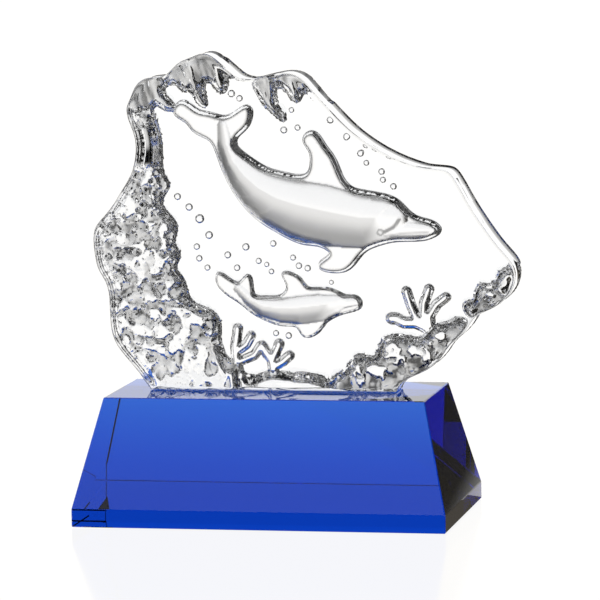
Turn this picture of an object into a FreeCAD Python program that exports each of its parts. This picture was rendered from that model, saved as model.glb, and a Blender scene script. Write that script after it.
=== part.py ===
"""Crystal dolphin award: a moulded clear crystal slab bonded on a blue crystal plinth.

Frame: millimetres, +Z up, origin at the centre of the plinth's underside.
The slab's polished face looks along -Y; every motif is sunk into its +Y face.
"""
import FreeCAD, Part
import os

V = FreeCAD.Vector

# ---- plinth -------------------------------------------------------------
BASE_WIDTH = 160.0
BASE_DEPTH = 90.0
BASE_HEIGHT = 53.0
TOP_WIDTH = 138.0
TOP_DEPTH = 58.0
BAND_HEIGHT = 7.5
EDGE_CHAMFER = 0.35

# ---- slab ---------------------------------------------------------------
SLAB_FRONT_Y = -9.0
SLAB_THICKNESS = 24.0
SLAB_BACK_Y = SLAB_FRONT_Y + SLAB_THICKNESS
BOND_THICKNESS = 0.2
BOND_INSET = 1.0
FOOT_Z = BASE_HEIGHT + BOND_THICKNESS
FOOT_BEVEL = 5.0
OVERCUT = 6.0

# ---- how deep each motif is sunk into the back face -----------------------
BIG_DOLPHIN_DEPTH = 14.0
SMALL_DOLPHIN_DEPTH = 10.0
ROCK_DEPTH = 9.0
REEF_DEPTH = 8.0
ICICLE_DEPTH = 7.0
SEABED_DEPTH = 6.0
CORAL_DEPTH = 4.0

# ---- outlines in the slab's plane, as (x, z) -------------------------------
# The slab's edge, clockwise from the left end of its foot to the right end.
SLAB_OUTLINE = [
    (-54.5, FOOT_Z), (-58.5, 60.5), (-66, 69.5), (-69.5, 75.5), (-70.8, 83), (-71, 91),
    (-72.5, 99.5), (-75.5, 105), (-77, 111.5), (-77.5, 117.5), (-76.5, 123), (-72.5, 128),
    (-68, 133.5), (-63.5, 140.5), (-60.5, 145.5), (-58.7, 151), (-58, 156), (-58.5, 162),
    (-60, 166.5), (-61.5, 171), (-61.5, 174.5), (-60, 178), (-58, 182.5), (-54.5, 186),
    (-50, 187), (-44.5, 188), (-41.5, 190.5), (-38, 193.5), (-33, 195.5), (-28, 197),
    (-24, 195.8), (-20.5, 193), (-16.5, 189.5), (-12.5, 186.7), (-9, 186), (-3, 187),
    (4, 188.5), (10.5, 188.5), (14.5, 186.5), (19, 181.5), (26.5, 173), (35, 164.5),
    (43, 158.5), (52, 153.5), (60, 150.3), (67, 148.5), (73, 148), (76.3, 147),
    (79, 144), (83.5, 136), (91, 124), (99, 113.5), (103, 108.5), (104.5, 103),
    (103.5, 98.5), (99.5, 93), (93.5, 89), (87, 85.5), (83, 80), (76.5, 74), (72, 68),
    (66, 63), (58.5, 59.5), (54.5, 56.5), (52.5, FOOT_Z),
]
# The rock wall's inner edge, from the slab's shoulder down to the seabed.
ROCK_INNER = [
    (-54, 172), (-53, 168.5), (-50.8, 160), (-50.5, 151), (-49.5, 144), (-47.5, 140),
    (-50, 135.5), (-50.5, 131.5), (-47.5, 127), (-44.5, 122), (-45.5, 114.5), (-43.5, 110.5),
    (-45.3, 104.5), (-42.5, 100), (-40.5, 93.5), (-36.5, 88.5), (-30.5, 86), (-26.5, 81.5),
    (-26.3, 74.5), (-25, 68.5), (-21.5, 64), (-17.5, 63),
]
# The lower edges of the two curtains of icicles, from right to left and left to right.
LEFT_ICICLES = [
    (-22.5, 189.5), (-21.7, 186), (-21, 182.5), (-22.5, 180), (-25, 181.2), (-27.5, 184),
    (-29.7, 184.3), (-31, 180), (-30.5, 174), (-33, 175.5), (-37, 180.8), (-39.5, 180.5),
    (-41.5, 182.5), (-44, 183.5), (-48.5, 181), (-47.2, 177.5), (-44, 173), (-47.5, 172.6),
    (-51, 174.5), (-54, 172),
]
RIGHT_ICICLES = [
    (-8.5, 186.5), (-9, 183.5), (-7, 179), (-4.3, 174.5), (-0.5, 171), (4, 168), (3.3, 170.5),
    (0.8, 174), (0, 178), (0.5, 181.2), (3, 181.7), (6, 179), (8, 176.6), (10, 176),
    (11.3, 178.6), (13.5, 179.5), (16, 177.5), (19, 175), (21.5, 174.5), (24, 176),
]
# The seabed between rock and reef, from left to right.
SEABED_TOP = [(-17.5, 63), (-14, 58.2), (-7.5, 59.2), (1.5, 59.6), (12, 59), (20.5, 57.5)]
# The reef's upper edge, from the seabed to the gap below the detached stones.
REEF_TOP = [
    (20.5, 57.5), (27, 60.5), (31, 64), (34, 67), (41.5, 66.5), (43.7, 69.5), (45, 73),
    (48.5, 75.3), (57, 75), (62.5, 75.3), (67, 79.5), (72.5, 81.3), (79, 83.3), (81.7, 82),
    (80.5, 76),
]
STONES = [
    (104, 106), (100, 105), (96.5, 103.5), (94, 100), (91.5, 97.7), (87.5, 97.5), (85.8, 95),
    (84.5, 91.3), (80.7, 89.7), (82.3, 85), (86, 85.3),
]
# The leaping dolphin, clockwise from the left tip of its tail.
BIG_DOLPHIN = [
    (-42.5, 173), (-40, 174.8), (-34, 171.2), (-28, 169.6), (-23, 168.3), (-17, 170),
    (-11.5, 172.5), (-11.3, 169), (-14, 164.5), (-17.5, 161), (-18.3, 158), (-14, 152.5),
    (-9, 149), (-3, 145.8), (4, 144), (10, 143), (14, 144), (16.3, 150), (15.3, 155.5),
    (13.3, 160), (15.5, 161.7), (20.5, 156.8), (24, 152), (27.5, 143.8), (32, 138.3),
    (38, 136.5), (44, 135.5), (52, 132.7), (56.5, 128.3), (61.5, 125.2), (66, 124),
    (69.5, 121.3), (66.5, 119), (61.5, 117.8), (51, 117.4), (43, 115.5), (37, 112.5),
    (31, 105.8), (25, 104), (19, 105.8), (24, 110.8), (21, 114.2), (12, 116), (1.5, 120.5),
    (-8, 126.5), (-15.5, 134.5), (-20.5, 143), (-24, 152), (-28, 160), (-35, 164),
    (-38.5, 168),
]
# The small dolphin, counter-clockwise from the left tip of its tail.
SMALL_DOLPHIN = [
    (-26.2, 101.5), (-26, 98), (-23, 94.3), (-16.5, 90), (-11.5, 86), (-4.5, 82.3), (3, 80.5),
    (8.5, 79.5), (11, 76), (17, 77.8), (20.5, 82), (24.5, 84.5), (30.5, 86.5), (35.5, 89.3),
    (34.5, 91.7), (29.5, 92.5), (25, 94.5), (17.5, 95.5), (13, 95.8), (8.5, 100.5),
    (2.5, 102), (4.5, 96.8), (2, 92.8), (-4, 91.8), (-11, 93), (-11.8, 97), (-13, 101),
    (-16.5, 98), (-20.5, 98.8), (-24, 101.2),
]
# Coral twigs: (half width, centre line).
CORAL_TWIGS = [
    (1.7, [(-18, 60), (-19, 65.5), (-19.3, 71), (-18.5, 75), (-18, 78.5)]),
    (1.5, [(-18.8, 68.5), (-14.5, 71.5), (-12.2, 75.5)]),
    (1.5, [(-18, 64), (-11, 67), (-8.3, 71)]),
    (1.8, [(-2.5, 58), (-3.3, 65), (-6, 68.5), (-7.5, 71)]),
    (1.7, [(-3.3, 65), (-1.5, 68.5), (0, 72)]),
    (1.6, [(-2.8, 62), (1.5, 64.5), (4.5, 67)]),
    (2.0, [(67, 75), (64, 79.5), (59.5, 81.5), (54.5, 81.5), (51, 83.3), (49, 83.3)]),
    (1.6, [(63, 80.5), (59.5, 84), (57.3, 89), (55.5, 95)]),
    (1.6, [(64, 79.5), (62.8, 85), (63, 90), (65.3, 96)]),
    (1.6, [(66, 79), (65.3, 84.5), (68.5, 89.5), (72.5, 92.5)]),
]
# Bubbles: (x, z, radius).
BUBBLES = [
    (-19, 179, 1.7), (-15.5, 177, 1.5), (7, 172, 1.3), (3.5, 163.5, 1.6), (9.5, 164.5, 1.4),
    (-43.5, 135, 1.6), (-38.5, 130.5, 1.7), (-34, 125.5, 2.1), (-30, 118.5, 1.8),
    (-35.5, 113.5, 1.5), (-34.5, 108.5, 1.5), (-31, 104.5, 1.4), (-22, 110, 1.6),
    (-18, 104.5, 1.5), (-14, 113.5, 1.7), (-2, 115, 1.5), (-8.5, 107.5, 1.4), (-5, 106, 1.2),
    (-3, 103, 1.3), (6.5, 109, 1.4), (9, 105.5, 1.5), (12.8, 104.5, 1.5), (23, 98.5, 1.1),
    (-1.5, 76.5, 1.4), (4, 75.5, 1.5), (23.5, 167.5, 1.7), (30.5, 160.5, 1.6),
    (36.5, 153.5, 1.5), (39, 149.5, 1.3), (45.5, 145.8, 1.5), (46, 142.3, 1.4),
    (50.5, 139.5, 1.5),
]


def at(point, y):
    """The 3-D place of an (x, z) outline point on the plane at y."""
    return V(point[0], y, point[1])


def spline_edge(points, y, closed=False):
    """A smooth curve through the outline points, on the plane at y."""
    curve = Part.BSplineCurve()
    curve.interpolate(Points=[at(p, y) for p in points], PeriodicFlag=closed)
    return curve.toShape()


def plate(edges, y_from, y_to):
    """A solid plate between two y planes, bounded by a closed run of edges at y_from."""
    wire = Part.Wire(edges)
    return Part.Face(wire).extrude(V(0, y_to - y_from, 0))


def closed_pocket(points, depth):
    """The tool that sinks a closed smooth outline into the back face."""
    floor_y = SLAB_BACK_Y - depth
    return plate([spline_edge(points, floor_y, closed=True)], floor_y, SLAB_BACK_Y + OVERCUT)


def edge_pocket(inner, around, depth):
    """The tool for a pocket that runs out over the slab's edge: inner curve, outer corners."""
    floor_y = SLAB_BACK_Y - depth
    corners = [inner[-1]] + around + [inner[0]]
    edges = [spline_edge(inner, floor_y)]
    for start, end in zip(corners, corners[1:]):
        edges.append(Part.makeLine(at(start, floor_y), at(end, floor_y)))
    return plate(edges, floor_y, SLAB_BACK_Y + OVERCUT)


def capsule(start, end, radius, depth):
    """The tool for one straight stretch of a twig: a slot with round ends."""
    floor_y = SLAB_BACK_Y - depth
    length = depth + OVERCUT
    ends = [Part.makeCylinder(radius, length, at(p, floor_y), V(0, 1, 0)) for p in (start, end)]
    run = at(end, floor_y) - at(start, floor_y)
    side = V(-run.z, 0, run.x).normalize() * radius
    corners = [at(start, floor_y) + side, at(end, floor_y) + side,
               at(end, floor_y) - side, at(start, floor_y) - side]
    web = Part.Face(Part.makePolygon(corners + corners[:1])).extrude(V(0, length, 0))
    return [web] + ends


def coral_pockets():
    """Every twig of the three coral bushes, as one tool."""
    pieces = []
    for radius, line in CORAL_TWIGS:
        for start, end in zip(line, line[1:]):
            pieces += capsule(start, end, radius, CORAL_DEPTH)
    return pieces[0].multiFuse(pieces[1:]).removeSplitter()


def bubble_dimples():
    """Hemispherical dimples in the back face."""
    return [Part.makeSphere(radius, at((x, z), SLAB_BACK_Y)) for x, z, radius in BUBBLES]


def foot_bevel():
    """The wedge that eases the front edge of the foot."""
    left = SLAB_OUTLINE[0][0] - OVERCUT
    right = SLAB_OUTLINE[-1][0] + OVERCUT
    corners = [V(left, SLAB_FRONT_Y, FOOT_Z), V(left, SLAB_FRONT_Y + FOOT_BEVEL, FOOT_Z),
               V(left, SLAB_FRONT_Y, FOOT_Z + FOOT_BEVEL)]
    return Part.Face(Part.makePolygon(corners + corners[:1])).extrude(V(right - left, 0, 0))


def crystal_sculpture():
    """The clear slab with every motif sunk into its back."""
    foot = Part.makeLine(at(SLAB_OUTLINE[-1], SLAB_FRONT_Y), at(SLAB_OUTLINE[0], SLAB_FRONT_Y))
    slab = plate([spline_edge(SLAB_OUTLINE, SLAB_FRONT_Y), foot], SLAB_FRONT_Y, SLAB_BACK_Y)
    pockets = [
        edge_pocket(ROCK_INNER, [(-17.5, 40), (-100, 40), (-100, 172)], ROCK_DEPTH),
        edge_pocket(LEFT_ICICLES, [(-100, 172), (-100, 210), (-22.5, 210)], ICICLE_DEPTH),
        edge_pocket(RIGHT_ICICLES, [(40, 180), (40, 210), (-8.5, 210)], ICICLE_DEPTH),
        edge_pocket(SEABED_TOP, [(20.5, 40), (-17.5, 40)], SEABED_DEPTH),
        edge_pocket(REEF_TOP, [(95, 60), (95, 40), (20.5, 40)], REEF_DEPTH),
        edge_pocket(STONES, [(104, 70), (120, 90), (120, 106)], REEF_DEPTH),
        closed_pocket(BIG_DOLPHIN, BIG_DOLPHIN_DEPTH),
        closed_pocket(SMALL_DOLPHIN, SMALL_DOLPHIN_DEPTH),
        coral_pockets(),
        foot_bevel(),
    ]
    return slab.cut(pockets + bubble_dimples()).removeSplitter()


def ring(width, depth, z):
    """The corners of a centred rectangle at height z, closed."""
    x, y = width / 2, depth / 2
    return [V(-x, -y, z), V(x, -y, z), V(x, y, z), V(-x, y, z), V(-x, -y, z)]


def blue_base():
    """The plinth: an upright band under a tapering block, with polished chamfers."""
    rings = [ring(BASE_WIDTH, BASE_DEPTH, 0), ring(BASE_WIDTH, BASE_DEPTH, BAND_HEIGHT),
             ring(TOP_WIDTH, TOP_DEPTH, BASE_HEIGHT)]
    faces = [Part.Face(Part.makePolygon(rings[0])), Part.Face(Part.makePolygon(rings[-1]))]
    for low, high in zip(rings, rings[1:]):
        for i in range(4):
            corners = [low[i], low[i + 1], high[i + 1], high[i], low[i]]
            faces.append(Part.Face(Part.makePolygon(corners)))
    block = Part.Solid(Part.Shell(faces))
    return block.makeChamfer(EDGE_CHAMFER, block.Edges)


def adhesive_film():
    """The clear bond between the foot and the plinth's top."""
    left = SLAB_OUTLINE[0][0] + BOND_INSET
    right = SLAB_OUTLINE[-1][0] - BOND_INSET
    front = SLAB_FRONT_Y + FOOT_BEVEL
    back = SLAB_BACK_Y - ROCK_DEPTH
    return Part.makeBox(right - left, back - front, BOND_THICKNESS, V(left, front, BASE_HEIGHT))


os.makedirs("parts", exist_ok=True)
crystal_sculpture().exportStep("parts/crystal_sculpture.step")
blue_base().exportStep("parts/blue_base.step")
adhesive_film().exportStep("parts/adhesive_film.step")
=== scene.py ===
import math

import bpy
import numpy as np
from mathutils import Matrix, Vector, geometry
from mathutils.bvhtree import BVHTree

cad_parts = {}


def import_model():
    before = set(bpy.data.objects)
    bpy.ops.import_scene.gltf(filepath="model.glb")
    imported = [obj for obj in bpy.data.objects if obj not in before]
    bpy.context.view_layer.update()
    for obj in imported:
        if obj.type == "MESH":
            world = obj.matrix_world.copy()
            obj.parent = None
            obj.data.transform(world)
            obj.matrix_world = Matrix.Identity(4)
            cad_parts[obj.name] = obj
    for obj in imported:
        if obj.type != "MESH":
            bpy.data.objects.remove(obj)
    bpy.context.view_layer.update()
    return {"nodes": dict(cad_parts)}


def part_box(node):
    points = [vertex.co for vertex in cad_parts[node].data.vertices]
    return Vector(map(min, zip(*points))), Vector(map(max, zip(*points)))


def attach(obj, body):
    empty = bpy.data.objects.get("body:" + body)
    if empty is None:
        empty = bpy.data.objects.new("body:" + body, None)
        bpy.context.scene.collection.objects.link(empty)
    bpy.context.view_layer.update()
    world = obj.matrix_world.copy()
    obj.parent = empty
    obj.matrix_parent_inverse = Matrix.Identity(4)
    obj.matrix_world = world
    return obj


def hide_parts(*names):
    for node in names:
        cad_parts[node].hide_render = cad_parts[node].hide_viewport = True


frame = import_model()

# Shapes are worked out in millimetres, in the row frame, and written in metres.
MM = 0.001

# ---- levels of the slab, read along Y from its polished front to its relief ----
SLAB_FRONT = -9.0
SLAB_BACK = 15.0
OUTLINE_LEVEL = -3.0
BIG_DOLPHIN_LEVEL = 1.0
SMALL_DOLPHIN_LEVEL = 5.0
ROCK_LEVEL = 6.0
REEF_LEVEL = 7.0
ICICLE_LEVEL = 8.0
SEABED_LEVEL = 9.0
CORAL_LEVEL = 11.0
FOOT_Z = 53.2

# ---- how deep each motif's rim is sunk, and how its walls slope, in degrees ----
ROCK_RIM = 4.6
REEF_RIM = 4.4
STONE_DRAFT = 14
ICICLE_RIM = 2.5
ICICLE_DRAFT = 25
SEABED_RIM = 3.0
CORAL_RIM = 1.6
FINE_DRAFT = 20
BIG_DOLPHIN_RIM = 7.5
SMALL_DOLPHIN_RIM = 4.8
DOLPHIN_DRAFT = 12
# The stone's floor lies at about these depths, before its islands and hollows.
ROCK_FLOOR = 8.0
REEF_FLOOR = 7.5
# How far a dolphin's body swells past its rim, as a share of its girth.
BIG_BULK = 0.45
SMALL_BULK = 0.5

# ---- the slab's rounded edges and faceted side ----
FRONT_RADIUS = 2.2
FOOT_RADIUS = 5.0
BACK_RADIUS = 2.4
FACET_SIZE = 7.0
FACET_DEPTH = 0.5
# How dark the painted shade is along the slab's outline and round its front edge, and that line's
# width.
OUTLINE_PAINTED_SHADE = 0.88
FRONT_LINE_PAINTED_SHADE = 0.93
FRONT_LINE_WIDTH = 1.5

# ---- mesh density ----
LOOP_STEP = 0.6
FINE_STEP = 0.62
COARSE_STEP = 2.2
FINE_CLEARANCE = 0.4
COARSE_CLEARANCE = 1.3
EDGE_RINGS = (0.15, 0.45, 0.9, 1.5, 2.3)
BIG_WALL_RINGS = (0.5, 1.1, 1.7, 2.3)
SMALL_WALL_RINGS = (0.4, 0.8, 1.3)
# A bubble's rings: share of its radius, and how many points.
BUBBLE_RINGS = ((1.0, 20), (0.93, 20), (0.75, 16), (0.45, 10))
SIDE_ROWS = 14
# From this row of the side to the back, the far edge takes the edge material, which shows the
# painted dark outline.
EDGE_FROM_ROW = 9
SHARP_ANGLE = 75

# Outlines with fewer points than this are scraps, and outlines narrower than this are bubbles.
SHORTEST_OUTLINE = 9
BUBBLE_WIDEST = 5

CLEAR, SATIN, ROUGH, EDGE = 0, 1, 2, 3


# ------------------------------------------------------------------ noise

def lattice(seed, size=256):
    """A square table of seeded random numbers from -1 to 1, which noise() tiles."""
    return np.random.RandomState(seed).uniform(-1, 1, (size, size))


def noise(x, z, scale, seed):
    """Smooth random values from -1 to 1, with features about scale across."""
    table = lattice(seed)
    size = len(table)
    u, v = x / scale + 1000.0, z / scale + 1000.0
    i, j = np.floor(u).astype(int), np.floor(v).astype(int)
    s, t = u - i, v - j
    s, t = s * s * (3 - 2 * s), t * t * (3 - 2 * t)
    i0, j0, i1, j1 = i % size, j % size, (i + 1) % size, (j + 1) % size
    low = table[i0, j0] * (1 - s) + table[i1, j0] * s
    high = table[i0, j1] * (1 - s) + table[i1, j1] * s
    return low * (1 - t) + high * t


def ease(t):
    """0 to 1 with smooth ends."""
    t = np.clip(t, 0, 1)
    return t * t * (3 - 2 * t)


# ------------------------------------------------------------------ reading outlines

def read_node(name):
    """A CAD node's welded points in millimetres, and its triangles."""
    mesh = frame["nodes"][name].data
    mesh.calc_loop_triangles()
    places = np.empty(len(mesh.vertices) * 3)
    mesh.vertices.foreach_get("co", places)
    corners = np.empty(len(mesh.loop_triangles) * 3, int)
    mesh.loop_triangles.foreach_get("vertices", corners)
    points, index = np.unique(np.round(places.reshape(-1, 3) / MM, 3), axis=0, return_inverse=True)
    return points, index.ravel()[corners].reshape(-1, 3)


def chain(links):
    """Joins directed links {start: end} into closed loops."""
    loops = []
    while links:
        start, here = links.popitem()
        loop = [start]
        while here != start:
            loop.append(here)
            here = links.pop(here)
        loops.append(loop)
    return loops


def loops_on_level(points, triangles, level):
    """The outlines, as (x, z) arrays, of the flat faces that lie at y = level."""
    flat = triangles[(np.abs(points[triangles, 1] - level) < 0.02).all(1)]
    edges = {(int(t[k]), int(t[(k + 1) % 3])) for t in flat for k in range(3)}
    links = {a: b for a, b in edges if (b, a) not in edges}
    return [points[loop][:, [0, 2]] for loop in chain(links) if len(loop) >= SHORTEST_OUTLINE]


def section(points, triangles, level):
    """The longest outline, as an (x, z) array, where the plane y = level cuts the node."""
    above = points[:, 1] > level
    links = {}
    for t in triangles:
        side = above[t]
        if side.all() or not side.any():
            continue
        cut = {}
        for k in range(3):
            a, b = int(t[k]), int(t[(k + 1) % 3])
            if above[a] != above[b]:
                cut["start" if above[b] else "end"] = (min(a, b), max(a, b))
        links[cut["start"]] = cut["end"]
    loop = max(chain(links), key=len)
    found = []
    for a, b in loop:
        p, q = points[a], points[b]
        found.append(p + (q - p) * (level - p[1]) / (q[1] - p[1]))
    return np.array(found)[:, [0, 2]]


def resample(loop, step):
    """The same closed loop with even steps, turning anticlockwise seen from the front."""
    closed = np.vstack([loop, loop[:1]])
    lengths = np.hypot(*np.diff(closed, axis=0).T)
    reach = np.concatenate([[0], np.cumsum(lengths)])
    count = max(8, int(round(reach[-1] / step)))
    at = np.arange(count) * reach[-1] / count
    found = np.stack([np.interp(at, reach, closed[:, k]) for k in (0, 1)], 1)
    x, z = found.T
    area = np.sum(x * np.roll(z, -1) - np.roll(x, -1) * z)
    return found if area > 0 else found[::-1]


# ------------------------------------------------------------------ distances

def signed_distance(at, loop, margin=8.0):
    """How far each point lies outside an anticlockwise loop; negative inside, at most margin."""
    count = len(loop)
    found = np.full(len(at), margin)
    near = np.flatnonzero(((at > loop.min(0) - margin) & (at < loop.max(0) + margin)).all(1))
    corners = [(x, y, z) for y in (-1, 1) for x, z in loop]
    walls = [(i, (i + 1) % count, count + (i + 1) % count, count + i) for i in range(count)]
    tree = BVHTree.FromPolygons(corners, walls)
    hits = [tree.find_nearest((x, 0, z)) for x, z in at[near]]
    spot = np.array([(hit[0].x, hit[0].z) for hit in hits]).reshape(-1, 2)
    index = np.array([hit[2] for hit in hits], int)
    run = np.roll(loop, -1, 0) - loop
    square = (run ** 2).sum(1)
    normal = np.stack([run[:, 1], -run[:, 0]], 1) / np.sqrt(square)[:, None]
    along = ((spot - loop[index]) * run[index]).sum(1) / square[index]
    other = np.where(along < 0.001, index - 1, np.where(along > 0.999, (index + 1) % count, index))
    away = at[near] - spot
    outside = (away * (normal[index] + normal[other])).sum(1) > 0
    distance = np.hypot(*away.T)
    found[near] = np.where(outside, np.minimum(distance, margin), -distance)
    return found


def nearest(at, loops, margin=8.0):
    """The signed distance to the nearest of several separate loops."""
    return np.min([signed_distance(at, loop, margin) for loop in loops], axis=0)


def spine_dome(at, stations):
    """How high a body of round section stands over the plane: 1 at its spine, 0 at its flanks.

    stations are (x, z, radius) along the spine. Also gives how far above or below the spine each
    point lies, in radii, and the radius there."""
    side = np.zeros(len(at))
    girth = np.zeros(len(at))
    best = np.full(len(at), 9.0)
    for (x0, z0, r0), (x1, z1, r1) in zip(stations, stations[1:]):
        run = np.array([x1 - x0, z1 - z0])
        gap = at - np.array([x0, z0])
        t = np.clip(gap @ run / (run @ run), 0, 1)
        away = gap - t[:, None] * run
        radius = r0 + (r1 - r0) * t
        share = np.hypot(*away.T) / radius
        nearer = share < best
        best = np.where(nearer, share, best)
        girth = np.where(nearer, radius, girth)
        across = (run[0] * away[:, 1] - run[1] * away[:, 0]) / np.hypot(*run) / radius
        side = np.where(nearer, across, side)
    high = np.sqrt(np.maximum(0, 1 - best ** 2))
    return high, side, girth


# ------------------------------------------------------------------ the relief

slab_points, slab_triangles = read_node("crystal_sculpture")
outline = resample(section(slab_points, slab_triangles, OUTLINE_LEVEL), LOOP_STEP)


def pocket_loops(level):
    return [resample(l, LOOP_STEP) for l in loops_on_level(slab_points, slab_triangles, level)]


big_dolphin = pocket_loops(BIG_DOLPHIN_LEVEL)
small_dolphin = pocket_loops(SMALL_DOLPHIN_LEVEL)
rock = pocket_loops(ROCK_LEVEL)
reef = pocket_loops(REEF_LEVEL)
icicles = pocket_loops(ICICLE_LEVEL)
seabed = pocket_loops(SEABED_LEVEL)
coral = pocket_loops(CORAL_LEVEL)
bubbles = []
for rim in loops_on_level(slab_points, slab_triangles, SLAB_BACK):
    span = rim.max(0) - rim.min(0)
    if span.max() < BUBBLE_WIDEST:
        bubbles.append(((rim.max(0) + rim.min(0)) / 2, span.max() / 2))

# The big dolphin's spine, tail stock to brow, then its beak: (x, z, radius).
BIG_SPINE = [(-22, 166, 2.2), (-21, 158, 3.4), (-18.2, 150.2, 4.8), (-13.5, 143.8, 6.9),
             (-7.5, 138.2, 8.9), (0.5, 133.5, 11), (10, 130.3, 12.6), (21, 127.8, 13.3),
             (30, 126.2, 12.4), (37.5, 125, 11.6), (45, 125.2, 9.8), (50, 125.2, 7.6)]
BIG_BEAK = [(50, 121.6, 4.4), (60, 121.4, 3.6), (67, 121.2, 2.6)]
SMALL_SPINE = [(-17, 96, 2), (-12, 91, 2.6), (-6, 87.8, 4), (2, 86.8, 5.4), (10, 87, 6.4),
               (18, 88, 6.2), (24, 89.3, 4.6), (27.5, 90.3, 3.4)]
SMALL_BEAK = [(28, 89.8, 2.4), (34.5, 90.4, 1.5)]


# The painted grey shade on each dolphin's underside begins this far above the spine, in radii, and
# ends at about these x.
GREY_LINE = 0.2
BIG_GREY_END = 44.0
SMALL_GREY_END = 22.0
BROW = [(54.0, 126.0), (51.5, 122.8), (47.2, 120.6)]
MOUTH = [(47.5, 119.0), (56.0, 120.2), (66.0, 120.6)]
EYE = (45.8, 120.6)
EYE_RADIUS = 1.2
# Each painted dark crease line: its points, half width and how dark its painted shade is.
FACE_LINES = ((BROW, 0.55, 0.12), (MOUTH, 0.28, 0.45))

# The smooth column of rock under the left icicles.
COLUMN_FOOT = 147.0
COLUMN_TOP = 167.0
COLUMN_SIDE = -42.0


def dolphin_floor(at, spine, beak, bulk):
    """How much deeper than its rim a dolphin's floor lies: a round body over thin fins."""
    body, side, girth = spine_dome(at, spine)
    snout, _, snout_girth = spine_dome(at, beak)
    below = ease(-side * 1.4)
    body = body * (1 - 0.22 * below)
    return np.maximum(body ** 1.5 * girth, snout ** 1.5 * snout_girth * 1.1) * bulk


def dolphin_painted_shade(at, finish):
    """Painted shade: the dolphins' grey undersides, and dark lines for the big one's eye, brow and
    mouth creases.
    """
    x, z = at.T
    shade = np.ones(len(at))
    for spine, end in ((BIG_SPINE, BIG_GREY_END), (SMALL_SPINE, SMALL_GREY_END)):
        body, side, _ = spine_dome(at, spine)
        grey = 0.64 - 0.5 * ease((GREY_LINE - side) * 1.15)
        fade = 1.5 + 12 * ease(GREY_LINE - side)
        under = ease((GREY_LINE - side) / 0.06) * ease((end - x) / fade + 0.5) * (body > 0)
        shade = shade * (1 - under * (1 - grey))
    for line, width, dark in FACE_LINES:
        for (ax, az), (bx, bz) in zip(line, line[1:]):
            share = ((x - ax) * (bx - ax) + (z - az) * (bz - az)) / math.hypot(bx - ax, bz - az) ** 2
            share = np.clip(share, 0, 1)
            away = np.hypot(x - ax - share * (bx - ax), z - az - share * (bz - az))
            shade = np.minimum(shade, dark + (1 - dark) * ease((away - width) / 0.5))
    ring = np.abs(np.hypot(x - EYE[0], z - EYE[1]) - EYE_RADIUS)
    shade = np.minimum(shade, 0.15 + 0.85 * ease((ring - 0.2) / 0.45))
    return np.where(finish == SATIN, shade, 1.0)


def crinkled(x, z):
    """The fine unevenness of broken crystal."""
    return noise(x, z, 2.2, 31) + 0.5 * noise(x, z, 1.5, 32)


def stone_relief(at):
    """The rock and reef: smooth islands, cracked here and there, among crinkled hollows.

    Gives how far the stone is sunk past its mean floor, and its painted shading: grey hollows,
    darker veins and cracks, light islands."""
    x, z = at.T
    warp_x = x + 1.5 * noise(x, z, 3.6, 11) + 0.5 * noise(x, z, 1.8, 12)
    warp_z = z + 1.5 * noise(x, z, 3.6, 13) + 0.5 * noise(x, z, 1.8, 14)
    crinkle = crinkled(x, z)
    vein = 1 - ease(np.abs(noise(warp_x, warp_z, 2.3, 33)) / 0.4)
    to_edge = -signed_distance(at, outline)
    to_rim = -nearest(at, rock + reef)
    rim = ease((to_edge - to_rim) / 2) * (1 - ease(to_rim / 3.5))
    in_reef = nearest(at, reef) < 0
    # how much of the stone is island: less along its inner rim, more at the rock's foot and edge
    near_edge = 1 - ease(to_edge / 5)
    foot = 1 - ease((z - 58) / 28)
    rock_bias = 0.02 + 0.5 * near_edge * (1 - rim) - 0.6 * rim
    rock_bias += 0.3 * foot * (1 - rim)
    reef_bias = 0.05 - 0.5 * near_edge - 0.45 * rim
    swell = noise(warp_x, warp_z, 3.7, 21) + 0.6 * noise(warp_x, warp_z, 1.9, 22)
    swell += np.where(in_reef, reef_bias, rock_bias)
    island = ease(swell / 0.5)
    crack = 1 - ease(np.abs(noise(warp_x, warp_z, 2.6, 23)) / 0.12)
    column = ease((z - COLUMN_FOOT) / 3) * ease((COLUMN_TOP - z) / 3) * (x < COLUMN_SIDE)
    island = np.maximum(island, column)
    crack = crack * (1 - column)
    crinkle_height = (1 - island) * (1.5 - 0.7 * foot)
    sunk = 1.8 * island - (1.1 - 0.7 * foot) * crack * island + crinkle_height * crinkle
    dome = np.sqrt(ease(np.minimum(to_edge, np.abs(to_rim)) / 6))
    sunk += 2.2 * dome * column

    # painted shade: the crinkled hollows are grey, darker along veins, along the inner rim and in
    # the reef; islands are left light, and cracks darken them
    hollow_painted_shade = 0.42 + 0.26 * crinkle - 0.42 * vein - 0.2 * rim - 0.16 * in_reef
    hollow_painted_shade = np.maximum(hollow_painted_shade, 0.01)
    painted_shading = hollow_painted_shade + (1 - hollow_painted_shade) * island * (1 - 0.6 * crack)
    # painted shade makes the column black, with one painted highlight streak along its upper half
    painted_light = 0.5 * ease(1.6 - np.abs(to_edge - 2.8)) * ease((z - 155) / 4)
    painted_shading += (painted_light - painted_shading) * column
    return sunk, painted_shading


def ice_relief(at):
    """The icicles' upright ribs, and their painted grey shade, streaked and following the ribs."""
    x, z = at.T
    ribs = noise(x + 0.25 * z, z * 0.2, 1.9, 41) + 0.5 * noise(x, z * 0.3, 1.3, 42)
    streak = noise(x + 0.3 * z, z * 0.15, 1.2, 43)
    return ribs, np.maximum(0.28 + 0.3 * ribs + 0.3 * streak, 0.05)


def painted_outline_shade(at):
    """Painted shade: dark lines along the dolphins' walls and round the coral."""
    line = np.ones(len(at))
    for loops, wall, blur in ((big_dolphin, 1.0, 0.7), (small_dolphin, 0.45, 0.4)):
        gap = nearest(at, loops)
        line = np.minimum(line, ease(np.where(gap > 0, gap - wall, -gap - 0.2) / blur))
    twig = ease((np.abs(nearest(at, coral)) - 0.3) / 0.6)
    return (0.4 + 0.6 * twig) * (0.12 + 0.88 * line)


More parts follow.
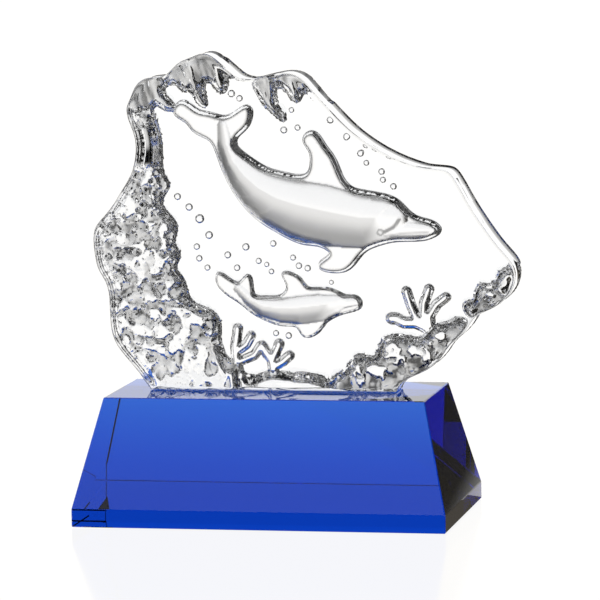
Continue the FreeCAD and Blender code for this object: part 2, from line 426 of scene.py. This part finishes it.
def carve(at):
    """The relief's depth below the back plane at each (x, z) point, its finish and its painted
    shading.
    """
    depth = np.zeros(len(at))
    finish = np.full(len(at), CLEAR)
    x, z = at.T

    def sink(loops, floor, rim_depth, draft, kind):
        """Sinks a pocket with floor depths inside and a sloping wall around it."""
        nonlocal depth, finish
        gap = nearest(at, loops)
        wall = rim_depth * math.tan(math.radians(draft))
        rise = 1 - ease(gap / wall)
        new = np.where(gap < 0, floor(gap), rim_depth * rise)
        finish = np.where((gap < 0) & (new > depth), kind, finish)
        depth = np.maximum(depth, new)

    stone, stone_painted_shading = stone_relief(at)
    ribs, ice_painted_shading = ice_relief(at)
    ripple = noise(x * 0.25, z, 1.1, 51)
    grain = 0.2 * crinkled(x, z)

    def stone_floor(base):
        return lambda gap: base - 2.0 + stone - 3.0 * (1 - ease(-gap / 3.0))

    def ice_floor(gap):
        return ICICLE_RIM + 3.4 * np.sqrt(ease(-gap / 3.5)) + 1.1 * ribs

    def seabed_floor(gap):
        return SEABED_RIM + 2.5 * ease(-gap / 1.5) + 0.5 * ripple

    def coral_floor(gap):
        return CORAL_RIM + 2.4 * np.sqrt(ease(-gap / 1.4)) + grain

    sink(rock, stone_floor(ROCK_FLOOR), ROCK_RIM, STONE_DRAFT, ROUGH)
    sink(reef, stone_floor(REEF_FLOOR), REEF_RIM, STONE_DRAFT, ROUGH)
    sink(icicles, ice_floor, ICICLE_RIM, ICICLE_DRAFT, ROUGH)
    sink(seabed, seabed_floor, SEABED_RIM, FINE_DRAFT, CLEAR)
    sink(coral, coral_floor, CORAL_RIM, FINE_DRAFT, CLEAR)
    big_body = BIG_DOLPHIN_RIM + dolphin_floor(at, BIG_SPINE, BIG_BEAK, BIG_BULK)
    sink(big_dolphin, lambda gap: big_body, BIG_DOLPHIN_RIM, DOLPHIN_DRAFT, SATIN)
    small_body = SMALL_DOLPHIN_RIM + dolphin_floor(at, SMALL_SPINE, SMALL_BEAK, SMALL_BULK)
    sink(small_dolphin, lambda gap: small_body, SMALL_DOLPHIN_RIM, DOLPHIN_DRAFT, SATIN)
    for centre, radius in bubbles:
        away = np.hypot(*(at - centre).T)
        depth += np.where(away < radius, np.sqrt(np.maximum(0, radius ** 2 - away ** 2)), 0)

    in_ice = nearest(at, icicles) < 0
    painted_shading = np.where(finish == ROUGH, np.where(in_ice, ice_painted_shading, stone_painted_shading), 1.0)
    painted_shading = painted_shading * dolphin_painted_shade(at, finish) * painted_outline_shade(at)
    return depth, finish, np.clip(painted_shading, 0, 1)


# ------------------------------------------------------------------ building the slab

def inset(loop, distance):
    """Points set in from a loop, or out for a negative distance, clear of its other stretches."""
    ahead, behind = np.roll(loop, -1, 0), np.roll(loop, 1, 0)
    run = ahead - behind
    run /= np.hypot(*run.T)[:, None]
    moved = loop + distance * np.stack([-run[:, 1], run[:, 0]], 1)
    gap = signed_distance(moved, loop)
    sign = -1 if distance > 0 else 1
    return moved[gap * sign > abs(distance) * 0.93]


def spread(step, low, high):
    """Points of a hexagonal grid over a box."""
    rows = np.arange(low[1], high[1], step * math.sqrt(3) / 2)
    columns = np.arange(low[0], high[0], step)
    x, z = np.meshgrid(columns, rows)
    x[1::2] += step / 2
    return np.stack([x.ravel(), z.ravel()], 1)


def thin_out(points, keep, clearance):
    """points that stay clear of the keep points, by a cell-by-cell test."""
    taken = set(map(tuple, np.floor(keep / clearance).astype(int)))
    spots = np.floor(points / clearance).astype(int)
    return points[[tuple(s) not in taken for s in spots]]


def triangulate(loops, extra):
    """Points and triangles inside the first loop, with every loop's edges kept.

    Also gives where the first loop's points are among them."""
    at = np.vstack(loops + [extra])
    edges, start = [], 0
    for loop in loops:
        n = len(loop)
        edges += [(start + i, start + (i + 1) % n) for i in range(n)]
        start += n
    result = geometry.delaunay_2d_cdt([Vector(p) for p in at], edges, [], 0, 1e-4, True)
    found = np.array([tuple(p) for p in result[0]])
    faces = np.array(result[2])
    faces = faces[signed_distance(found[faces].mean(1), loops[0]) < 0]
    first = {}
    for new, origins in enumerate(result[3]):
        for old in origins:
            first[old] = new
    ring = [first[i] for i in range(len(loops[0]))]
    return found, faces, ring


def front_radius(at):
    """How round the slab's front edge is: more so at the foot."""
    return FRONT_RADIUS + (FOOT_RADIUS - FRONT_RADIUS) * ease((FOOT_Z + 5 - at[:, 1]) / 5)


def edge_drop(gap, radius):
    """How far a rounded edge falls back, gap millimetres inside the outline."""
    inside = np.clip(-gap, 0, radius)
    return radius - np.sqrt(np.maximum(0, radius ** 2 - (radius - inside) ** 2))


def slab_mesh():
    """The whole slab: polished front, carved back, and the side between them."""
    edge_rings = [inset(outline, d) for d in EDGE_RINGS]
    relief = big_dolphin + small_dolphin + rock + reef + icicles + seabed + coral
    inner = [l[signed_distance(l, outline) < -0.3] for l in relief]
    walls = []
    for loops, offsets in ((big_dolphin, BIG_WALL_RINGS), (small_dolphin, SMALL_WALL_RINGS)):
        for loop in loops:
            walls += [inset(loop, -d) for d in offsets] + [inset(loop, 0.5)]
    for centre, radius in bubbles:
        for share, count in BUBBLE_RINGS:
            turn = np.arange(count) * 2 * math.pi / count
            walls.append(centre + radius * share * np.stack([np.cos(turn), np.sin(turn)], 1))
    low, high = outline.min(0), outline.max(0)
    fine = spread(FINE_STEP, low, high)
    coarse = spread(COARSE_STEP, low, high)
    fine = fine[nearest(fine, relief, 3.0) < 1.2]
    placed = np.vstack(edge_rings + walls + inner)
    placed = placed[signed_distance(placed, outline) < -0.1]
    fine = thin_out(fine, np.vstack([placed, outline]), FINE_CLEARANCE)
    coarse = thin_out(coarse, np.vstack([placed, outline, fine]), COARSE_CLEARANCE)
    extra = np.vstack([placed, fine, coarse])
    extra = extra[signed_distance(extra, outline) < -0.1]
    back_at, back_faces, back_ring = triangulate([outline], extra)
    sparse = np.vstack(edge_rings + [thin_out(coarse, np.vstack(edge_rings), COARSE_CLEARANCE)])
    sparse = sparse[signed_distance(sparse, outline) < -0.1]
    front_at, front_faces, front_ring = triangulate([outline], sparse)

    depth, finish, back_painted_shading = carve(back_at)
    back_gap = signed_distance(back_at, outline)
    back_gap[back_ring] = 0
    back_y = SLAB_BACK - depth - edge_drop(back_gap, BACK_RADIUS)
    front_gap = signed_distance(front_at, outline)
    front_gap[front_ring] = 0
    front_y = SLAB_FRONT + edge_drop(front_gap, front_radius(front_at))
    back = np.stack([back_at[:, 0], back_y, back_at[:, 1]], 1)
    front = np.stack([front_at[:, 0], front_y, front_at[:, 1]], 1)

    # the side, in rows from the front ring to the back ring, gently faceted
    count = len(outline)
    length = np.arange(count) * LOOP_STEP
    run = np.roll(outline, -1, 0) - np.roll(outline, 1, 0)
    run /= np.hypot(*run.T)[:, None]
    inward = np.stack([-run[:, 1], run[:, 0]], 1)
    steady = ease((outline[:, 1] - FOOT_Z - 1) / 4)
    # painted shade on the side: darkest along the far edge where the camera sees the side, else
    # along the front edge
    far = ease(0.5 - (inward[:, 0] * 0.8 + inward[:, 1] * 0.6))
    upward = np.clip(-inward[:, 1], 0, 1)
    edge_row = EDGE_FROM_ROW - 2 * upward
    rows = []
    side_painted_shading = []
    for k in range(1, SIDE_ROWS):
        t = k / SIDE_ROWS
        y = front[front_ring, 1] * (1 - t) + back[back_ring, 1] * t
        facet = 0.5 + 0.5 * noise(length, y, FACET_SIZE, 61)
        move = facet * FACET_DEPTH * math.sin(math.pi * t) * steady
        place = outline + inward * move[:, None]
        rows.append(np.stack([place[:, 0], y, place[:, 1]], 1))
        # how dark the painted shade is across the side, towards the back or the front
        at_back = 1 - OUTLINE_PAINTED_SHADE * ease((t - 0.38 + 0.13 * upward) / 0.5)
        at_front = 0.18 + 0.82 * ease(t / 0.45)
        side_painted_shading.append(far * at_back + (1 - far) * at_front)

    points = np.vstack([front, back] + rows)
    # the back ring takes the painted dark outline along the far edge
    back_painted_shading[back_ring] = np.minimum(back_painted_shading[back_ring], 1 - OUTLINE_PAINTED_SHADE * far)
    # a painted dark line of shade round the front edge, except where the camera looks over it to the
    # far edge
    owner = np.hypot(*(front_at[:, None] - outline[None]).transpose(2, 0, 1)).argmin(1)
    rim_painted_shade = (1 - ease(-front_gap / FRONT_LINE_WIDTH)) * (1 - 0.75 * far[owner])
    front_painted_shading = 1 - FRONT_LINE_PAINTED_SHADE * rim_painted_shade
    painted_shading = np.concatenate([front_painted_shading, back_painted_shading] + side_painted_shading)
    back_start = len(front)
    row_start = back_start + len(back)
    rings = [np.array(front_ring)]
    rings += [row_start + k * count + np.arange(count) for k in range(SIDE_ROWS - 1)]
    rings.append(back_start + np.array(back_ring))
    faces = [tuple(f) for f in facing(front_faces, front_at, -1)]
    slots = [CLEAR] * len(faces)
    turned = facing(back_faces, back_at, 1)
    faces += [tuple(f + back_start) for f in turned]
    votes = np.stack([(finish[turned] == kind).sum(1) for kind in (CLEAR, SATIN, ROUGH)])
    slots += list(np.where(votes[SATIN] == 3, SATIN, np.where(votes[ROUGH] == 3, ROUGH, CLEAR)))
    for row, (low_ring, high_ring) in enumerate(zip(rings, rings[1:])):
        for i in range(count):
            j = (i + 1) % count
            faces.append((low_ring[i], low_ring[j], high_ring[j], high_ring[i]))
            slots.append(EDGE if row >= edge_row[i] and far[i] > 0.5 else CLEAR)
    return points, faces, slots, painted_shading


def facing(faces, at, sign):
    """Triangles wound so that their normals point along sign times +Y."""
    a, b, c = (at[faces[:, k]] for k in range(3))
    turn = (b[:, 0] - a[:, 0]) * (c[:, 1] - a[:, 1]) - (b[:, 1] - a[:, 1]) * (c[:, 0] - a[:, 0])
    # anticlockwise in (x, z) faces -Y
    flip = turn * sign > 0
    return np.where(flip[:, None], faces[:, ::-1], faces)


def new_object(name, points, faces, slots=None, materials=()):
    """A mesh object from millimetre points."""
    mesh = bpy.data.meshes.new(name)
    mesh.from_pydata((np.asarray(points) * MM).tolist(), [], [tuple(map(int, f)) for f in faces])
    for material in materials:
        mesh.materials.append(material)
    if slots is not None:
        mesh.polygons.foreach_set("material_index", [int(s) for s in slots])
    mesh.update()
    piece = bpy.data.objects.new(name, mesh)
    bpy.context.scene.collection.objects.link(piece)
    return piece


# ------------------------------------------------------------------ materials

class Graph:
    """A material's node tree with short calls for making and joining nodes."""

    def __init__(self, name):
        self.material = bpy.data.materials.new(name)
        self.material.use_nodes = True
        self.tree = self.material.node_tree
        self.tree.nodes.clear()
        self.output = self.node("ShaderNodeOutputMaterial")

    def node(self, kind, **settings):
        made = self.tree.nodes.new(kind)
        for key, value in settings.items():
            if key in made.inputs:
                made.inputs[key].default_value = value
            else:
                setattr(made, key, value)
        return made

    def join(self, source, target):
        self.tree.links.new(source, target)


def glass(name, colour, roughness, ior=1.52):
    """A polished or satin crystal: its Principled shader, already joined to the output."""
    graph = Graph(name)
    shader = graph.node("ShaderNodeBsdfPrincipled")
    shader.inputs["Base Color"].default_value = colour
    shader.inputs["Roughness"].default_value = roughness
    shader.inputs["IOR"].default_value = ior
    shader.inputs["Transmission Weight"].default_value = 1.0
    graph.join(shader.outputs[0], graph.output.inputs["Surface"])
    return graph, shader


def apply_painted_shading(graph, shader, light, mottle):
    """Colours a crystal by the relief's painted shading, with a faint mottle over it."""
    painted_shading = graph.node("ShaderNodeAttribute", attribute_name="painted_shading")
    mix = graph.node("ShaderNodeMix", data_type="RGBA")
    mix.inputs[6].default_value = (0, 0, 0, 1)
    mix.inputs[7].default_value = light
    graph.join(painted_shading.outputs["Fac"], mix.inputs[0])
    cloud = graph.node("ShaderNodeTexNoise", Scale=400.0, Detail=3.0)
    coords = graph.node("ShaderNodeTexCoord")
    graph.join(coords.outputs["Object"], cloud.inputs["Vector"])
    span = graph.node("ShaderNodeMapRange")
    span.inputs["To Min"].default_value = 1 - mottle
    span.inputs["To Max"].default_value = 1
    graph.join(cloud.outputs["Fac"], span.inputs["Value"])
    tint = graph.node("ShaderNodeMix", data_type="RGBA", blend_type="MULTIPLY")
    tint.inputs[0].default_value = 1
    graph.join(mix.outputs[2], tint.inputs[6])
    graph.join(span.outputs["Result"], tint.inputs[7])
    graph.join(tint.outputs[2], shader.inputs["Base Color"])


def waver(graph, shader, scale, height, strength):
    """A fine unevenness of the surface, scale per metre and height in metres."""
    coords = graph.node("ShaderNodeTexCoord")
    cloud = graph.node("ShaderNodeTexNoise", Scale=scale, Detail=2.0)
    graph.join(coords.outputs["Object"], cloud.inputs["Vector"])
    bump = graph.node("ShaderNodeBump", Strength=strength, Distance=height)
    graph.join(cloud.outputs["Fac"], bump.inputs["Height"])
    graph.join(bump.outputs[0], shader.inputs["Normal"])


def crystal(name, colour, roughness, mottle, wave=None, ior=1.52):
    """One of the slab's crystals, coloured by its painted shading; wave is (scale, height,
    strength).
    """
    graph, shader = glass(name, colour, roughness, ior)
    apply_painted_shading(graph, shader, colour, mottle)
    if wave:
        waver(graph, shader, *wave)
    return graph.material


def clear_crystal():
    return crystal("clear_crystal", (0.985, 0.99, 0.995, 1), 0.0, 0.02, (60.0, 0.0003, 0.05))


def satin_crystal():
    return crystal("satin_crystal", (0.98, 0.98, 0.985, 1), 0.3, 0.04, (2500.0, 0.00004, 0.3))


def rough_crystal():
    return crystal("rough_crystal", (0.97, 0.975, 0.98, 1), 0.08, 0.12, (800.0, 0.0003, 0.22))


def edge_crystal():
    """The slab's far edge: with an index of 1 it reflects nothing, and shows a dark outline of
    painted shade.
    """
    return crystal("edge_crystal", (0.985, 0.99, 0.995, 1), 0.0, 0.1, ior=1.0)


def clouded(graph, shader, first, second, scale):
    """A colour that drifts slightly between two close ones."""
    coords = graph.node("ShaderNodeTexCoord")
    cloud = graph.node("ShaderNodeTexNoise", Scale=scale, Detail=2.0)
    graph.join(coords.outputs["Object"], cloud.inputs["Vector"])
    mix = graph.node("ShaderNodeMix", data_type="RGBA")
    mix.inputs[6].default_value = first
    mix.inputs[7].default_value = second
    graph.join(cloud.outputs["Fac"], mix.inputs[0])
    graph.join(mix.outputs[2], shader.inputs["Base Color"])


def blue_crystal():
    graph, shader = glass("blue_crystal", (0.9, 0.94, 1.0, 1), 0.0)
    clouded(graph, shader, (0.84, 0.91, 1.0, 1), (0.94, 0.96, 1.0, 1), 30.0)
    depth = graph.node("ShaderNodeVolumeAbsorption", Color=(0.05, 0.52, 0.88, 1), Density=70.0)
    graph.join(depth.outputs[0], graph.output.inputs["Volume"])
    return graph.material


def clear_bond():
    graph, shader = glass("clear_bond", (0.97, 0.975, 0.98, 1), 0.05, 1.5)
    clouded(graph, shader, (0.93, 0.94, 0.95, 1), (0.99, 0.99, 0.99, 1), 150.0)
    waver(graph, shader, 300.0, 0.0001, 0.3)
    return graph.material


# ------------------------------------------------------------------ pieces

# The slab's painted shading, its dark lines and grey undersides and stone, rides on its points as an
# attribute.
points, faces, slots, painted_shading = slab_mesh()
sculpture = new_object("crystal_slab", points, faces, slots,
                       (clear_crystal(), satin_crystal(), rough_crystal(), edge_crystal()))
sculpture.data.attributes.new("painted_shading", "FLOAT", "POINT").data.foreach_set("value", painted_shading)
sculpture.data.shade_smooth()
sculpture.data.set_sharp_from_angle(angle=math.radians(SHARP_ANGLE))
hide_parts("crystal_sculpture")
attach(sculpture, "root")

base = frame["nodes"]["blue_base"]
base.data.materials.clear()
base.data.materials.append(blue_crystal())

BOND_POINTS = 96
# The layer stays this far from the glass above and below it.
BOND_GAP = 0.05
BOND_SQUARENESS = 0.94
BOND_UNEVENNESS = 0.025
BOND_SHARE = 0.99


def bond_mesh():
    """The cured bond: a thin layer with a slightly uneven rim, inside its CAD box."""
    low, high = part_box("adhesive_film")
    low, high = low / MM, high / MM
    turn = np.arange(BOND_POINTS) * 2 * math.pi / BOND_POINTS
    square = np.maximum(np.abs(np.cos(turn)), np.abs(np.sin(turn))) ** -BOND_SQUARENESS
    pull = 1 - BOND_UNEVENNESS * (1 + noise(8 * np.cos(turn), 8 * np.sin(turn), 1.0, 81)) / 2
    reach = BOND_SHARE * square * pull / square.max() ** (1 - BOND_SQUARENESS)
    x = (low.x + high.x) / 2 + (high.x - low.x) / 2 * reach * np.cos(turn)
    y = (low.y + high.y) / 2 + (high.y - low.y) / 2 * reach * np.sin(turn)
    corners = [(x[i], y[i], z) for z in (low.z + BOND_GAP, high.z - BOND_GAP)
               for i in range(BOND_POINTS)]
    n = BOND_POINTS
    faces = [tuple(range(n - 1, -1, -1)), tuple(range(n, 2 * n))]
    faces += [(i, (i + 1) % n, n + (i + 1) % n, n + i) for i in range(n)]
    return corners, faces


corners, faces = bond_mesh()
film = new_object("bond", corners, faces, None, (clear_bond(),))
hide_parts("adhesive_film")
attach(film, "root")


# ------------------------------------------------------------------ stage

# White sweeps stand round the object, each between two headings in degrees; between them the
# studio is dark. The glass sees them, and the floor that runs from the object to each, where the
# floor glows with painted light. The last numbers widen a sweep's patch of painted light on the
# floor at its start and end, and keep it this far off; metres.
SWEEPS = ((82.0, 162.0, 0.08, 0.35, 0.0), (170.0, 190.0, 0.0, 0.0, 0.0),
          (299.0, 331.0, 0.0, 0.0, 0.12))
SWEEP_SOFTNESS = 0.04
# A card above the floor beside the first sweep: its headings, and the height of its foot in degrees.
RAISED_CARD = (66.0, 88.0, 5.0)
SWEEP_TOP = 48.0
SWEEP_LEVEL = 1.04
ROOM_LEVEL = 0.02
# A softbox in front, high on the camera's left, lays a faint sheen on the tilted faces.
SOFTBOX_HEADING = 256.0
SOFTBOX_HEIGHT = 31.0
SOFTBOX_HALF_ANGLE = 13.0
SOFTBOX_LEVEL = 0.65
CEILING_LEVEL = 0.8
CEILING_EDGE = 68.0
# What the camera itself sees of the floor and of the backdrop.
FLOOR_LEVEL = 0.92
BACKDROP_LEVEL = 1.05


def maths(tree, operation, first, second=None):
    """A Math node's output; each input is a socket or a number."""
    node = tree.nodes.new("ShaderNodeMath")
    node.operation = operation
    for socket, value in zip(node.inputs, (first, second)):
        if isinstance(value, bpy.types.NodeSocket):
            tree.links.new(value, socket)
        elif value is not None:
            socket.default_value = value
    return node.outputs[0]


def dot(tree, vector, direction):
    """The dot product of a vector socket and a fixed direction."""
    node = tree.nodes.new("ShaderNodeVectorMath")
    node.operation = "DOT_PRODUCT"
    node.inputs[1].default_value = direction
    tree.links.new(vector, node.inputs[0])
    return node.outputs["Value"]


def ramp(tree, value, low, high):
    """A smooth step from 0 at low to 1 at high."""
    span = tree.nodes.new("ShaderNodeMapRange")
    span.interpolation_type = "SMOOTHSTEP"
    span.inputs["From Min"].default_value = low
    span.inputs["From Max"].default_value = high
    tree.links.new(value, span.inputs["Value"])
    return span.outputs["Result"]


def swap(tree, choice, value, other):
    """value where choice is 0, and the number other where it is 1."""
    kept = maths(tree, "MULTIPLY", value, maths(tree, "SUBTRACT", 1.0, choice))
    return maths(tree, "ADD", kept, maths(tree, "MULTIPLY", choice, other))


def heading(degrees):
    """The level unit vector towards a heading."""
    turn = math.radians(degrees)
    return (math.cos(turn), math.sin(turn), 0)


def sweep_light(tree, vector, on_floor):
    """How bright the studio is, 0 in its gaps to 1 on a sweep, towards a direction, or at a place on
    the floor where it is painted light.
    """
    total = None
    for start, end, start_spread, end_spread, nearest_floor in SWEEPS:
        inside = maths(tree, "ADD", dot(tree, vector, heading(start + 90)),
                       start_spread if on_floor else 0.0)
        inside_end = maths(tree, "ADD", dot(tree, vector, heading(end - 90)),
                           end_spread if on_floor else 0.0)
        inside = maths(tree, "MINIMUM", inside, inside_end)
        share = ramp(tree, inside, -SWEEP_SOFTNESS / 2, SWEEP_SOFTNESS / 2)
        ahead = dot(tree, vector, heading((start + end) / 2))
        reach = nearest_floor if on_floor else 0.0
        share = maths(tree, "MULTIPLY", share, maths(tree, "GREATER_THAN", ahead, reach))
        total = share if total is None else maths(tree, "MAXIMUM", total, share)
    return total


def floor():
    """A plain pale floor with a faint soft reflection; the glass sees painted light on it, glowing
    where the sweeps would light it and dark between.
    """
    size = 30000.0
    drop = 0.3
    piece = new_object("floor", [(-size, -size, -drop), (size, -size, -drop),
                                 (size, size, -drop), (-size, size, -drop)], [(0, 1, 2, 3)])
    graph = Graph("pale_floor")
    # painted light: for all rays but the camera's the floor glows by place, bright before the sweeps
    # and dark between them
    place = graph.node("ShaderNodeNewGeometry")
    lit = maths(graph.tree, "MULTIPLY", sweep_light(graph.tree, place.outputs["Position"], True),
                SWEEP_LEVEL - ROOM_LEVEL)
    lit = maths(graph.tree, "ADD", lit, ROOM_LEVEL)
    path = graph.node("ShaderNodeLightPath")
    strength = swap(graph.tree, path.outputs["Is Camera Ray"], lit, FLOOR_LEVEL)
    painted_light = graph.node("ShaderNodeEmission", Color=(1, 1, 1, 1))
    graph.join(strength, painted_light.inputs["Strength"])
    gloss = graph.node("ShaderNodeBsdfGlossy", Color=(0.13, 0.115, 0.09, 1), Roughness=0.12)
    both = graph.node("ShaderNodeAddShader")
    graph.join(painted_light.outputs[0], both.inputs[0])
    graph.join(gloss.outputs[0], both.inputs[1])
    graph.join(both.outputs[0], graph.output.inputs["Surface"])
    piece.data.materials.append(graph.material)


def world():
    """White behind everything for the camera; for the glass, the studio and its sweeps."""
    scene_world = bpy.data.worlds.new("studio")
    bpy.context.scene.world = scene_world
    scene_world.use_nodes = True
    tree = scene_world.node_tree
    tree.nodes.clear()
    output = tree.nodes.new("ShaderNodeOutputWorld")
    coords = tree.nodes.new("ShaderNodeTexCoord")
    towards = coords.outputs["Generated"]
    split = tree.nodes.new("ShaderNodeSeparateXYZ")
    tree.links.new(towards, split.inputs[0])
    height = split.outputs["Z"]
    top = math.sin(math.radians(SWEEP_TOP))
    below_top = maths(tree, "LESS_THAN", height, top)
    lit = maths(tree, "MULTIPLY", sweep_light(tree, towards, False), below_top)
    # the plinth's corner sees the raised card
    start, end, foot = RAISED_CARD
    card = maths(tree, "MINIMUM", dot(tree, towards, heading(start + 90)),
                 dot(tree, towards, heading(end - 90)))
    card = maths(tree, "MULTIPLY", ramp(tree, card, 0.0, SWEEP_SOFTNESS),
                 maths(tree, "GREATER_THAN", height, math.sin(math.radians(foot))))
    lit = maths(tree, "MAXIMUM", lit, maths(tree, "MULTIPLY", card, below_top))
    lit = maths(tree, "MULTIPLY", lit, SWEEP_LEVEL - ROOM_LEVEL)
    overhead = maths(tree, "GREATER_THAN", height, math.sin(math.radians(CEILING_EDGE)))
    ceiling = maths(tree, "MULTIPLY", overhead, CEILING_LEVEL)
    rise = math.radians(SOFTBOX_HEIGHT)
    level_x, level_y, _ = heading(SOFTBOX_HEADING)
    softbox_place = (level_x * math.cos(rise), level_y * math.cos(rise), math.sin(rise))
    edge = math.cos(math.radians(SOFTBOX_HALF_ANGLE))
    softbox = ramp(tree, dot(tree, towards, softbox_place), edge - 0.01, edge + 0.01)
    softbox = maths(tree, "MULTIPLY", softbox, SOFTBOX_LEVEL)
    level = maths(tree, "ADD", maths(tree, "ADD", lit, ceiling), ROOM_LEVEL)
    level = maths(tree, "ADD", level, softbox)
    path = tree.nodes.new("ShaderNodeLightPath")
    strength = swap(tree, path.outputs["Is Camera Ray"], level, BACKDROP_LEVEL)
    room = tree.nodes.new("ShaderNodeBackground")
    room.inputs["Color"].default_value = (1, 1, 1, 1)
    tree.links.new(strength, room.inputs["Strength"])
    tree.links.new(room.outputs[0], output.inputs["Surface"])


CAMERA_AZIMUTH = 12.06
CAMERA_ELEVATION = 6.88
CAMERA_ROLL = -1.05
CAMERA_DISTANCE = 1855.0
CAMERA_TARGET_RIGHT = 10.4
CAMERA_TARGET_UP = 90.7
CAMERA_LENS = 260.2


def camera():
    """A long lens, a little to the right of the front and a little above."""
    a, e, r = (math.radians(v) for v in (CAMERA_AZIMUTH, CAMERA_ELEVATION, CAMERA_ROLL))
    right = Vector((math.cos(a), math.sin(a), 0))
    up = Vector((-math.sin(a) * math.sin(e), math.cos(a) * math.sin(e), math.cos(e)))
    back = right.cross(up)
    place = right * CAMERA_TARGET_RIGHT + up * CAMERA_TARGET_UP + back * CAMERA_DISTANCE
    rolled_right = right * math.cos(r) + up * math.sin(r)
    rolled_up = up * math.cos(r) - right * math.sin(r)
    data = bpy.data.cameras.new("camera")
    data.sensor_width = 36.0
    data.lens = CAMERA_LENS
    data.clip_end = 100.0
    eye = bpy.data.objects.new("camera", data)
    turn = Matrix((rolled_right, rolled_up, back)).transposed()
    eye.matrix_world = Matrix.Translation(place * MM) @ turn.to_4x4()
    bpy.context.scene.collection.objects.link(eye)
    bpy.context.scene.camera = eye


def lamp():
    """One large soft light, up to the left."""
    data = bpy.data.lights.new("softbox", "AREA")
    data.shape = "RECTANGLE"
    data.size = 0.8
    data.size_y = 0.8
    data.energy = 4.0
    piece = bpy.data.objects.new("softbox", data)
    place = Vector((-0.9, -0.9, 1.3))
    piece.location = place
    piece.rotation_euler = (Vector((0, 0, 0.1)) - place).to_track_quat("-Z", "Y").to_euler()
    bpy.context.scene.collection.objects.link(piece)


floor()
world()
lamp()
camera()
scene = bpy.context.scene
scene.view_settings.view_transform = "Standard"
scene.cycles.max_bounces = 24
scene.cycles.transmission_bounces = 24
scene.cycles.glossy_bounces = 12
